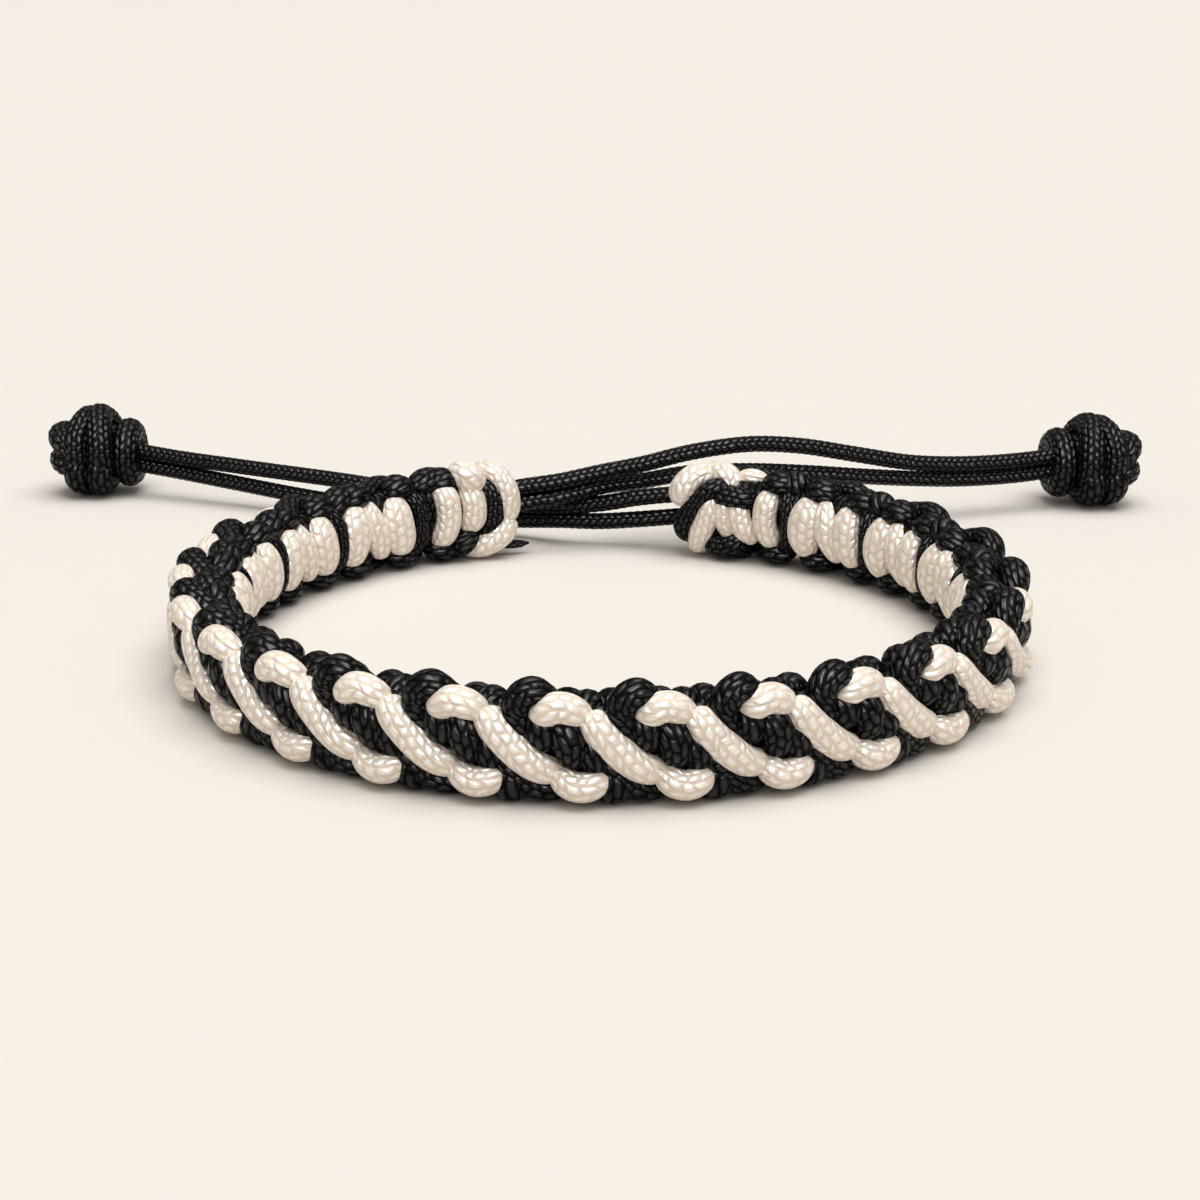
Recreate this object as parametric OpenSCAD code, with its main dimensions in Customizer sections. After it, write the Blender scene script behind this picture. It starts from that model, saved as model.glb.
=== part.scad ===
// Adjustable woven bracelet of black and ivory braided cord.
// A C-shaped band is knotted over a core, and two pairs of tie cords cross the gap
// at the back and end in button knots. The bracelet stands on its lower edge, with
// the middle of the ring at the origin and the front of the band towards -Y.

/* [Band] */
// Outside width of the ring, face to face of the ivory runs
ring_d = 70.4; // [60:0.2:84]
// Height of the band
band_h = 9.2; // [8.4:0.1:11]
// Thickness of the band, from inner ribs to outer runs
band_t = 6.4; // [6:0.1:7.6]
// Number of knot groups round the band
groups = 22; // [18:2:22]
// Mean angle that one group takes
group_pitch = 15.3; // [14:0.1:15.6]
// How far the groups are pushed together towards the front, in degrees
front_squeeze = 12.4; // [0:0.2:14]

/* [Cords] */
// Diameter of the working cords
cord_d = 2.2; // [1.8:0.1:2.3]
// Diameter of the tie cords
tie_d = 1.6; // [1.2:0.1:1.7]

/* [Knots] */
// Width of a button knot
knot_d = 10; // [8:0.5:10]

/* [Hidden] */

// Radii of the faces, from the outermost ivory run inwards
outer_r = ring_d/2;
inner_r = outer_r - band_t;
gap = 0.12;
run_half = 0.95;
rib_half = 0.75;
groove_r = outer_r - 2*run_half - gap;
hollow_r = inner_r + 2*rib_half + gap;
edge_r = (groove_r + hollow_r)/2;
end_u = groups/2;

// Angle from the front at a place u, counted in knot groups
function angle_at(u) = group_pitch*u - front_squeeze*sin(group_pitch*u);
// Degrees that one group takes at the place u
function pitch_at(u) = group_pitch*(1 - front_squeeze*PI/180*cos(group_pitch*u));
function place(u, r, z) = [r*sin(angle_at(u)), -r*cos(angle_at(u)), z];
function outward(u) = [sin(angle_at(u)), -cos(angle_at(u)), 0];
function clamp(x, low, high) = max(low, min(high, x));
function unit(v) = v/norm(v);
function flat(rows) = [for (row = rows) each row];

// A closed solid through rings that all have the same number of points
module loft(rings, joined = false) {
    n = len(rings);
    m = len(rings[0]);
    last = joined ? n - 1 : n - 2;
    sides = [for (i = [0:last], k = [0:m - 1])
        let (a = i*m + k, b = i*m + (k + 1)%m, c = ((i + 1)%n)*m + (k + 1)%m, d = ((i + 1)%n)*m + k)
        each [[a, b, c], [a, c, d]]];
    caps = joined ? [] : [[for (k = [m - 1:-1:0]) k], [for (k = [0:m - 1]) (n - 1)*m + k]];
    polyhedron(points = flat(rings), faces = concat(sides, caps), convexity = 8);
}

// Rings of points round a route, flattened by wide and high, shrunk by the size of each ring
function swept(route, ups, wide, high, sizes, sides) =
    let (n = len(route))
    [for (i = [0:n - 1])
        let (t = unit(route[min(i + 1, n - 1)] - route[max(i - 1, 0)]),
             side = unit(cross(t, ups[i])),
             up = cross(side, t))
        [for (k = [0:sides - 1])
            let (a = 360*(k + 0.5)/sides)
            route[i] + sizes[i]*(wide*cos(a)*side + high*sin(a)*up)]];

// Black weave: one body over the core, swept group by group.
// Rows of one group: place in the group, inner wrap, outer lobe, edge bead
GROUP_ROWS = [[0.07, 1.0, 0.0, 0.9],
              [0.13, 0.0, 0.0, 1.0],
              [0.36, 0.0, 0.1, 0.0],
              [0.61, 0.0, 1.0, 1.0],
              [0.86, 0.0, 0.1, 0.1],
              [0.93, 1.0, 0.0, 0.1]];
// Corners of the section: out from the middle, height, share of the slant, of the wrap,
// of the outer lobe and of the edge bead
SECTION = [[ 0.96, 0.23, 1.0, 0.0, 0.0, 0.3],
           [ 1.02, 0.42, 1.0, 0.0, 1.0, 0.0],
           [ 1.02, 0.58, 1.0, 0.0, 1.0, 0.0],
           [ 0.96, 0.77, 1.0, 0.0, 0.0, 0.3],
           [ 0.82, 0.93, 0.6, 0.0, 0.0, 1.0],
           [ 0.30, 1.00, 0.4, 0.0, 0.0, 1.0],
           [-0.45, 1.00, 0.1, 0.0, 0.0, 1.0],
           [-1.25, 0.94, 0.0, 0.0, 0.0, 1.0],
           [-1.00, 0.83, 0.0, 1.0, 0.0, 0.0],
           [-1.00, 0.17, 0.0, 1.0, 0.0, 0.0],
           [-1.25, 0.06, 0.0, 0.0, 0.0, 1.0],
           [-0.45, 0.00, 0.1, 0.0, 0.0, 1.0],
           [ 0.30, 0.00, 0.4, 0.0, 0.0, 1.0],
           [ 0.82, 0.07, 0.6, 0.0, 0.0, 1.0]];
bead_out = 1.25;
half_t = (groove_r - hollow_r)/2;
wrap_h = 1.5;
lobe_h = 1.2;
bead_h = 0.8;
slant = 1.5;
// Past this place the section is plain, with no lobes, wraps or slant
plain_u = end_u - 0.4;
// The narrow neck at each end, which the last ivory turn goes round
turn_r = 1;
neck_z = 2*turn_r + gap;
neck_share = 0.5;
neck_u = 0.34;
step = 0.01;

function weave_ring(u, wrap, lobe, bead) =
    let (ease = clamp(plain_u - abs(u), 0, 1),
         neck = abs(u) > end_u - neck_u,
         drop = (1 - bead)*bead_h)
    [for (s = SECTION)
        let (base_r = edge_r + s[0]*half_t*(neck ? neck_share : 1),
             r = base_r + ease*(lobe*s[4]*lobe_h - wrap*s[3]*wrap_h),
             edge = drop*s[5] + (neck ? neck_z : 0),
             z = edge + s[1]*(band_h - 2*edge),
             shift = ease*s[2]*slant*(0.5 - s[1]))
        place(u + shift, r, z)];

module black_weave() {
    end_places = [end_u - neck_u - step, end_u - neck_u + step, end_u];
    left_rings = [for (i = [2:-1:0]) weave_ring(-end_places[i], 0, 0, 1)];
    right_rings = [for (u = end_places) weave_ring(u, 0, 0, 1)];
    middle_rings = [for (j = [-end_u:end_u - 1], row = GROUP_ROWS)
        if (abs(j + row[0]) < end_places[0] - 2*step)
            weave_ring(j + row[0], row[1], row[2], row[3])];
    rings = concat(left_rings, middle_rings, right_rings);
    color([0.06, 0.06, 0.07]) loft(rings);
}

// Ivory weave: slanting runs outside, upright ribs inside, and a turn round each end.
// Height of a run at each place along it, counted in groups, in a band of table_h
table_h = 9.2;
RUN_HEIGHT = [[0.36, 7.35], [0.55, 7.90], [0.81, 7.00], [1.12, 4.70],
              [1.54, 2.35], [1.80, 1.70], [2.04, 1.95]];
run_from = RUN_HEIGHT[0][0];
run_to = RUN_HEIGHT[6][0];
run_stop = end_u - 0.5;
run_rings = 8;
shortest_run = 0.5;
tip_size = 0.55;
RIB_PLACES = [0.26, 0.50, 0.74];
rib_width = 0.22;

module outer_run(j) {
    first = max(j + run_from, -run_stop);
    last = min(j + run_to, run_stop);
    us = [for (i = [0:run_rings - 1]) first + (last - first)*i/(run_rings - 1)];
    mid_r = outer_r - run_half;
    route = [for (u = us) place(u, mid_r, lookup(u - j, RUN_HEIGHT)*band_h/table_h)];
    sizes = [for (i = [0:run_rings - 1]) i == 0 || i == run_rings - 1 ? tip_size : 1];
    loft(swept(route, [for (u = us) outward(u)], cord_d/2, run_half, sizes, 6));
}

module inner_rib(u) {
    heights = [0.13, 0.25, 0.75, 0.87]*band_h;
    sizes = [tip_size, 1, 1, tip_size];
    r = inner_r + rib_half;
    half_w = rib_width/2*pitch_at(u)*PI/180*r;
    route = [for (z = heights) place(u, r, z)];
    loft(swept(route, [for (z = heights) outward(u)], half_w, rib_half, sizes, 6));
}

// The turn round an end, an oblong ring on the narrow neck of the black weave
module end_turn(side) {
    u = side*(end_u - neck_u/2);
    mid_z = band_h/2;
    along = cross([0, 0, 1], outward(u));
    corner = [for (a = [0:30:330]) [cos(a), sin(a)]];
    half_r = bead_out*half_t*neck_share + gap + turn_r;
    half_z = band_h/2 - turn_r;
    oblong = 0.45;
    rings = [for (c = corner)
        let (out = [sign(c[0])*pow(abs(c[0]), oblong)*half_r,
                    sign(c[1])*pow(abs(c[1]), oblong)*half_z],
             mid = place(u, edge_r + out[0], mid_z + out[1]),
             away = c[0]*outward(u) + c[1]*[0, 0, 1])
        [for (k = [0:5])
            let (a = -60*(k + 0.5))
            mid + turn_r*(cos(a)*away + sin(a)*along)]];
    loft(rings, joined = true);
}

module cream_weave() {
    color([0.93, 0.88, 0.80]) {
        for (j = [-end_u - 1:end_u - 2])
            if (j + run_to > -run_stop + shortest_run && j + run_from < run_stop - shortest_run)
                outer_run(j);
        for (j = [-end_u:end_u - 1], p = RIB_PLACES)
            if (abs(j + p) < end_u - neck_u - rib_width/2)
                inner_rib(j + p);
        end_turn(-1);
        end_turn(1);
    }
}

// Tie cords: routes through hand-chosen points, from the band's end to the knot
RIGHT_UPPER = [[-7.75, 31.2, 6.4], [-4, 31.9, 6.8], [0, 32.7, 7.5], [4, 34.0, 8.0], [9, 35.9, 8.8],
               [15, 37.8, 9.2], [20, 39.3, 8.7], [26, 41.1, 7.4], [32, 43.0, 6.1], [38, 45.0, 5.5],
               [44, 47.1, 5.4], [48.1, 48.5, 5.6]];
RIGHT_LOWER = [[-7.75, 31.3, 4.6], [-4, 32.1, 5.1], [0, 33.4, 5.9], [4, 34.9, 6.1], [9, 36.7, 6.5],
               [15, 38.4, 6.3], [21, 40.1, 5.7], [27, 41.9, 4.9], [33, 43.8, 4.2], [38, 45.4, 3.8],
               [44, 47.5, 3.7], [47.9, 48.8, 3.9]];
LEFT_UPPER = [[7.75, 31.2, 5.3], [4, 31.9, 4.7], [0, 33.0, 4.0], [-4, 34.3, 3.7], [-9, 36.4, 3.6],
              [-15, 38.9, 3.8], [-21, 41.5, 4.3], [-27, 44.0, 4.7], [-33, 46.5, 4.8], [-39, 49.0, 4.8],
              [-45, 51.6, 4.8], [-50.5, 53.9, 5.0]];
LEFT_LOWER = [[7.75, 31.5, 3.4], [4, 32.3, 2.9], [0, 33.4, 2.4], [-4, 34.6, 2.1], [-9, 36.6, 1.8],
              [-15, 39.1, 1.8], [-21, 41.6, 2.0], [-27, 44.1, 2.3], [-33, 46.6, 2.6], [-39, 49.2, 2.9],
              [-45, 51.8, 3.1], [-50.3, 54.0, 3.4]];

module tie_cord(route) {
    ups = [for (p = route) [0, 0, 1]];
    sizes = [for (p = route) 1];
    color([0.05, 0.05, 0.06]) loft(swept(route, ups, tie_d/2, tie_d/2, sizes, 8));
}

module tie_cord_left_upper() { tie_cord(LEFT_UPPER); }
module tie_cord_left_lower() { tie_cord(LEFT_LOWER); }
module tie_cord_right_upper() { tie_cord(RIGHT_UPPER); }
module tie_cord_right_lower() { tie_cord(RIGHT_LOWER); }

// Button knots. Lobes as shares of the knot's half width: place along, across and up, radius
LOBES = [[ 0.00,  0.00,  0.00, 0.70],
         [-0.05,  0.00,  0.56, 0.44],
         [ 0.05,  0.00, -0.54, 0.46],
         [ 0.52,  0.10,  0.22, 0.40],
         [ 0.52, -0.10, -0.24, 0.40],
         [-0.56,  0.00,  0.24, 0.40],
         [-0.56,  0.00, -0.26, 0.40],
         [ 0.00,  0.56,  0.10, 0.42],
         [ 0.00, -0.56,  0.10, 0.42]];
knot_rows = 10;
knot_sides = 18;

function reach(dir, lobe) =
    let (c = [lobe[0], lobe[1], lobe[2]], along = c*dir, room = lobe[3]*lobe[3] - c*c + along*along)
    room > 0 ? along + sqrt(room) : 0;

module button_knot(middle, turn) {
    rings = [for (i = [0:knot_rows])
        let (up = -90 + 180*i/knot_rows, lat = clamp(up, -88, 88))
        [for (k = [0:knot_sides - 1])
            let (a = -360*k/knot_sides,
                 dir = [cos(lat)*cos(a), cos(lat)*sin(a), sin(lat)])
            knot_d/2*dir*max([for (lobe = LOBES) reach(dir, lobe)])]];
    color([0.06, 0.06, 0.07])
        translate(middle) rotate([0, 0, turn]) loft(rings);
}

LEFT_KNOT_AT = [-54.6, 55.8, knot_d/2];
RIGHT_KNOT_AT = [52.4, 50.2, knot_d/2];
module left_knot() { button_knot(LEFT_KNOT_AT, -24); }
module right_knot() { button_knot(RIGHT_KNOT_AT, 199); }

black_weave();
cream_weave();
tie_cord_left_upper();
tie_cord_left_lower();
tie_cord_right_upper();
tie_cord_right_lower();
left_knot();
right_knot();
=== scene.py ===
# %% [markdown]
# # An adjustable bracelet of black and ivory braided cord
#
# The bracelet is one long knot, tied with two working cords over a core, and bent to a ring.
# Its ends don't meet. Two pairs of thin tie cords cross the gap at the back, run through the
# ends of the band, and finish in round button knots.
#
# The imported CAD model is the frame: it says where each piece sits. Everything here is in
# metres in the same frame, with the middle of the ring at the origin and the front towards -Y.

import math
import random

import bpy
import numpy as np
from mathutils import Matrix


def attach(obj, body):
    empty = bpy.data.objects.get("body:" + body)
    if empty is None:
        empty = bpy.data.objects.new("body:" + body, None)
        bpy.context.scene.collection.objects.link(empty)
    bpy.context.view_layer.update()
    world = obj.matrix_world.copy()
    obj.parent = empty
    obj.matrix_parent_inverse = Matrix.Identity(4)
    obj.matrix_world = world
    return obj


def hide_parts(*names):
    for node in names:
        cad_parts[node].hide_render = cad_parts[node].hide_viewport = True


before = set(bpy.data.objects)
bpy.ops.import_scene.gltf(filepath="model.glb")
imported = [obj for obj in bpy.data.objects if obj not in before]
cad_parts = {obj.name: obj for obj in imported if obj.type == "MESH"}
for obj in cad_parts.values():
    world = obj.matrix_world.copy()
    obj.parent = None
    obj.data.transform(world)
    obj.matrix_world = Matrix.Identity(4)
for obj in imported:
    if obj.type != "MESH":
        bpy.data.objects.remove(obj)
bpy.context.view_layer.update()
MM = 0.001
print("CAD nodes:", sorted(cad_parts))

# %% [markdown]
# The camera stands where the photographer stood: in front, a hand's breadth and a half away,
# and a little above the band. A focal length of 62 mm on a 36 mm sensor gives the same
# perspective, with the back of the ring clearly smaller than the front.

# %% Camera
LOOK_DOWN = 16.92
camera_data = bpy.data.cameras.new("camera")
camera_data.sensor_width = 36.0
camera_data.lens = 62.2
camera_data.clip_start = 0.01
camera_data.clip_end = 50.0
camera = bpy.data.objects.new("camera", camera_data)
camera.location = (0.0, -0.165, 0.0546)
camera.rotation_euler = (math.radians(90.0 - LOOK_DOWN), 0.0, 0.0)
bpy.context.scene.collection.objects.link(camera)
bpy.context.scene.camera = camera
bpy.context.scene.view_settings.view_transform = "Standard"
print("camera looks down by", LOOK_DOWN, "degrees from", tuple(camera.location))

# %% [markdown]
# Every strand of this object is a braided cord, so one helper draws them all. A smooth line
# is laid through a few points, and a ring of points is carried along it. The rings stand
# close together in a bend and further apart where the cord runs straight.
#
# A curve object with a round bevel would be quicker, but its rings can't be squeezed flat
# where two strands press on each other, and the braid's pads couldn't be raised.

# %% A smooth line through points
# Gaps between points count by this power, so the line doesn't bulge beside a short gap
GAP_POWER = 0.75
FINE_STEPS = 24
# The turn of the line is evened out over this many fine steps
TURN_WINDOW = 9


def smooth_line(knots, straight, bend=0.0):
    """Samples of a smooth line through rows of numbers, whose first three are a place in mm.

    straight is the longest step in mm, and bend the most that the line turns in a step, in
    radians. Without bend all steps are equal.
    """
    knots = np.asarray(knots, float)
    gaps = np.linalg.norm(np.diff(knots[:, :3], axis=0), axis=1) ** GAP_POWER
    slope = np.diff(knots, axis=0) / gaps[:, None]
    tangent = np.empty_like(knots)
    tangent[0], tangent[-1] = slope[0], slope[-1]
    before, after = gaps[:-1, None], gaps[1:, None]
    tangent[1:-1] = (slope[:-1] * after + slope[1:] * before) / (before + after)
    fine = []
    for i, gap in enumerate(gaps):
        t = np.linspace(0.0, 1.0, FINE_STEPS, endpoint=i == len(gaps) - 1)[:, None]
        fine.append(
            (2 * t**3 - 3 * t**2 + 1) * knots[i]
            + (t**3 - 2 * t**2 + t) * gap * tangent[i]
            + (3 * t**2 - 2 * t**3) * knots[i + 1]
            + (t**3 - t**2) * gap * tangent[i + 1]
        )
    fine = np.concatenate(fine)
    step = np.diff(fine[:, :3], axis=0)
    length = np.linalg.norm(step, axis=1)
    need = length / straight
    if bend:
        ahead = step / length[:, None]
        turn = np.arccos(np.clip((ahead[1:] * ahead[:-1]).sum(axis=1), -1.0, 1.0))
        turn = np.concatenate([[turn[0]], turn])
        window = np.ones(TURN_WINDOW) / TURN_WINDOW
        need = need + np.convolve(turn, window, mode="same") / bend
    need = np.concatenate([[0.0], np.cumsum(need)])
    even = np.linspace(0.0, need[-1], max(4, int(round(need[-1])) + 1))
    columns = [np.interp(even, need, fine[:, k]) for k in range(knots.shape[1])]
    return np.stack(columns, axis=1)


# %% Raised pads of the braid
def pad_height(run, turn, columns, pad):
    """How high the braid stands, from 0 in a crease to 1 on a pad, as in the finish below."""
    column = turn * columns
    across = column - np.floor(column)
    along = run / pad + 0.5 * np.mod(np.floor(column), 2.0)
    along = along - np.floor(along)
    return (1 - (2 * across - 1) ** 2) * (1 - (2 * along - 1) ** 2)


# %% A cord swept along a line
# The cord turns with the side that is seen, but lags by this share in each step
TWIST_LAG = 0.45
# A rounded end reaches this many half thicknesses beyond the line, in three smaller rings
END_REACH = 0.85
END_RINGS = [(math.sin(math.radians(d)), math.cos(math.radians(d))) for d in (25, 48, 70)]
TIP_RUN = 0.1


def sweep(line, out, wide, high, sides, first=0.0, rise=0.0, columns=1, pad=1.0):
    """Mesh of a cord with rounded ends: its points, faces and the braid's place on each corner.

    out says which side of the cord is seen, so the seam of the braid lies hidden on the other
    side. first is the run at its start, in mm. rise is the height of the pads in the mesh.
    """
    line, out = np.asarray(line, float), np.asarray(out, float)
    wide, high = np.broadcast_to(wide, len(line)), np.broadcast_to(high, len(line))
    steps = np.linalg.norm(np.diff(line, axis=0), axis=1)
    run = first + np.concatenate([[0.0], np.cumsum(steps)])
    ahead = np.gradient(line, axis=0)
    ahead /= np.linalg.norm(ahead, axis=1)[:, None]
    up = out[0]
    frames = []
    for t, o in zip(ahead, out):
        up = TWIST_LAG * up + (1 - TWIST_LAG) * o
        up = up - t * np.dot(up, t)
        up = up / (np.linalg.norm(up) + 1e-9)
        frames.append((np.cross(t, up), up))
    last = len(line) - 1
    rows = [(0, -s, c) for s, c in reversed(END_RINGS)]
    rows += [(i, 0.0, 1.0) for i in range(last + 1)]
    rows += [(last, s, c) for s, c in END_RINGS]
    turn = np.arange(sides) / sides
    sine, cosine = np.sin(2 * math.pi * turn), np.cos(2 * math.pi * turn)
    points, places = [], []
    for i, beyond, shrink in rows:
        side, up = frames[i]
        bulge = rise * (pad_height(run[i], turn, columns, pad) - 0.5) * shrink
        w, h = wide[i] * shrink + bulge, high[i] * shrink + bulge
        middle = line[i] + beyond * END_REACH * high[i] * ahead[i]
        points.append(middle + (w * sine)[:, None] * side - (h * cosine)[:, None] * up)
        places.append(run[i] + beyond * END_REACH * high[i])
    first_tip = line[0] - END_REACH * high[0] * ahead[0]
    last_tip = line[last] + END_REACH * high[last] * ahead[last]
    points.append([first_tip, last_tip])
    n = len(rows)
    grids = np.meshgrid(np.arange(n - 1), np.arange(sides), indexing="ij")
    i, k = (grid.ravel() for grid in grids)
    k2 = (k + 1) % sides
    corners = [i * sides + k, (i + 1) * sides + k, (i + 1) * sides + k2, i * sides + k2]
    quads = np.stack(corners, axis=1)
    places = np.array(places)
    here, there, low, top = places[i], places[i + 1], k / sides, (k + 1) / sides
    uv = np.stack([here, low, there, low, there, top, here, top], axis=1)
    uv = uv.reshape(-1, 2).tolist()
    faces = quads.tolist()
    for s in range(sides):
        s2 = (s + 1) % sides
        a, b, middle = s / sides, (s + 1) / sides, (s + 0.5) / sides
        faces.append((n * sides, s, s2))
        faces.append((n * sides + 1, (n - 1) * sides + s2, (n - 1) * sides + s))
        uv += [(places[0] - TIP_RUN, middle), (places[0], a), (places[0], b)]
        uv += [(places[-1] + TIP_RUN, middle), (places[-1], b), (places[-1], a)]
    return np.concatenate(points), faces, uv


# %% Join strands into one piece
def make_piece(name, strands, material):
    """One mesh object from many strands, given in mm, with the braid's place as a UV map."""
    points, faces, uvs, shift = [], [], [], 0
    for strand_points, strand_faces, strand_uv in strands:
        points.append(strand_points)
        faces += [[v + shift for v in face] for face in strand_faces]
        uvs += strand_uv
        shift += len(strand_points)
    mesh = bpy.data.meshes.new(name)
    mesh.from_pydata((np.concatenate(points) * MM).tolist(), [], faces)
    layer = mesh.uv_layers.new(name="cord_run")
    layer.data.foreach_set("uv", np.array(uvs, np.float32).ravel())
    mesh.shade_smooth()
    mesh.materials.append(material)
    mesh.validate()
    piece = bpy.data.objects.new(name, mesh)
    bpy.context.scene.collection.objects.link(piece)
    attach(piece, "root")
    triangles = sum(len(f) - 2 for f in faces)
    print(name, "has", len(strands), "strands and", triangles, "triangles")
    return piece


# %% Take a mesh object apart, to join it to strands
# V counts one turn of the braid for each 12 mm up or inward
V_TURN = 12.0


def as_strand(obj, away):
    """A mesh object's own points in mm, faces and UV, after which the object is removed.

    U runs round the Z axis, as far as it would at the distance away, and V up and inward.
    """
    mesh = obj.data
    points = np.empty(3 * len(mesh.vertices))
    mesh.vertices.foreach_get("co", points)
    points = points.reshape(-1, 3) / MM
    faces = [list(face.vertices) for face in mesh.polygons]
    turn = 2 * math.pi * away
    run = turn * np.arctan2(points[:, 0], -points[:, 1]) / (2 * math.pi)
    rise = (points[:, 2] - np.hypot(points[:, 0], points[:, 1])) / V_TURN
    uv = []
    for face in faces:
        furthest = run[face].max()
        uv += [(run[v] + turn * (run[v] < furthest - turn / 2), rise[v]) for v in face]
    bpy.data.objects.remove(obj)
    return points, faces, uv


# %% [markdown]
# All the cords share one effect, the braided cover. Fine threads cross in two directions, so
# columns of small slanted pads run along the cord, and each second column leans the other
# way. A node group draws them from the UV map: U is the distance along the cord in mm and V
# the share of a turn round it. It puts out the height for a Bump node, a mask that is 0 in
# the creases and 1 on the pads, and a tone that differs from pad to pad.


# %% Node helpers
def node(tree, kind, **settings):
    made = tree.nodes.new(kind)
    for key, value in settings.items():
        setattr(made, key, value)
    return made


def maths(tree, operation, *values):
    """A Math node. Each value is a number or another node's output."""
    made = node(tree, "ShaderNodeMath", operation=operation)
    for slot, value in zip(made.inputs, values):
        if isinstance(value, (int, float)):
            slot.default_value = value
        else:
            tree.links.new(value, slot)
    return made.outputs[0]


# %% The braided cover
# The wander is noise in Object coordinates, in metres, so 900 is about one wave a millimetre
WANDER_SCALE = 900.0
WANDER_ALONG, WANDER_ROUND = 0.8, 0.6
PAD_LEAN = 1.6
THREAD_RIDGE = 0.08


def braided_cover():
    tree = bpy.data.node_groups.new("braided cover", "ShaderNodeTree")
    sockets = tree.interface
    inputs = {"Columns": 12.0, "Pad length": 0.8, "Slant": 0.25, "Threads": 4.0}
    for name, value in inputs.items():
        socket = sockets.new_socket(name, in_out="INPUT", socket_type="NodeSocketFloat")
        socket.default_value = value
    for name in ("Height", "Face", "Tone"):
        sockets.new_socket(name, in_out="OUTPUT", socket_type="NodeSocketFloat")
    given, result = node(tree, "NodeGroupInput"), node(tree, "NodeGroupOutput")
    place = node(tree, "ShaderNodeUVMap", uv_map="cord_run")
    split = node(tree, "ShaderNodeSeparateXYZ")
    tree.links.new(place.outputs[0], split.inputs[0])
    # The threads wander a little, so no two pads are alike
    where = node(tree, "ShaderNodeTexCoord")
    wander = node(tree, "ShaderNodeTexNoise")
    wander.inputs["Scale"].default_value = WANDER_SCALE
    wander.inputs["Detail"].default_value = 1.0
    tree.links.new(where.outputs["Object"], wander.inputs["Vector"])
    drift = maths(tree, "SUBTRACT", wander.outputs[0], 0.5)
    run = maths(tree, "DIVIDE", split.outputs[0], given.outputs["Pad length"])
    run = maths(tree, "MULTIPLY_ADD", drift, WANDER_ALONG, run)
    column = maths(tree, "MULTIPLY", split.outputs[1], given.outputs["Columns"])
    column = maths(tree, "MULTIPLY_ADD", drift, WANDER_ROUND, column)
    number = maths(tree, "FLOOR", column)
    across = maths(tree, "FRACT", column)
    odd = maths(tree, "FLOORED_MODULO", number, 2.0)
    lean = maths(tree, "MULTIPLY_ADD", odd, -2.0, 1.0)
    middle = maths(tree, "SUBTRACT", across, 0.5)
    slanted = maths(tree, "MULTIPLY", middle, lean)
    slanted = maths(tree, "MULTIPLY", slanted, given.outputs["Slant"])
    along = maths(tree, "ADD", maths(tree, "MULTIPLY_ADD", odd, 0.5, run), slanted)
    pad = maths(tree, "FLOOR", along)
    part = maths(tree, "FRACT", along)

    def dome(value):
        far = maths(tree, "MULTIPLY_ADD", value, 2.0, -1.0)
        return maths(tree, "SUBTRACT", 1.0, maths(tree, "MULTIPLY", far, far))

    swell = maths(tree, "MULTIPLY", dome(across), dome(part))
    chance = node(tree, "ShaderNodeTexWhiteNoise", noise_dimensions="2D")
    cell = node(tree, "ShaderNodeCombineXYZ")
    tree.links.new(number, cell.inputs[0])
    tree.links.new(pad, cell.inputs[1])
    tree.links.new(cell.outputs[0], chance.inputs["Vector"])
    tree.links.new(chance.outputs["Value"], result.inputs["Tone"])
    # The pad is round on top and runs out softly into the crease
    face = node(tree, "ShaderNodeMapRange", interpolation_type="SMOOTHSTEP")
    tree.links.new(swell, face.inputs["Value"])
    face = face.outputs["Result"]
    tree.links.new(face, result.inputs["Face"])
    # Each pad leans its own way a little
    turned = maths(tree, "SUBTRACT", chance.outputs["Value"], 0.5)
    turned = maths(tree, "MULTIPLY", turned, middle)
    turned = maths(tree, "MULTIPLY_ADD", turned, PAD_LEAN, 1.0)
    leaning = maths(tree, "MULTIPLY", face, turned)
    # Fine threads run the length of each pad
    thread = maths(tree, "MULTIPLY", across, given.outputs["Threads"])
    thread = maths(tree, "SINE", maths(tree, "MULTIPLY", thread, 2 * math.pi))
    ridge = maths(tree, "MULTIPLY", maths(tree, "MULTIPLY", thread, swell), THREAD_RIDGE)
    tree.links.new(maths(tree, "ADD", leaning, ridge), result.inputs["Height"])
    return tree


cover = braided_cover()
print("node group", cover.name, "has", len(cover.nodes), "nodes")

# %% [markdown]
# Satin cord shines on its pads and stays dull in its creases. The creases are rougher, and
# their colour is painted shade: a darker colour laid into them. Only the pads reflect much, so
# the light breaks up into one glint a pad. Ivory cord scatters light, so its glints lie over a
# pale colour. In black cord almost nothing but the glints shows. The strength of the glints is
# a map on the specular level. The render uses it, but the export keeps no such map, so there
# the creases shine more.

# %% A cord finish from the cover
PADS_ROUND = 12
PAD_LENGTH = 0.72
# The creases are rougher than the pads by this much, and reflect this share of what they do
CREASE_ROUGHER, CREASE_SHARE = 0.3, 0.08


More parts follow.
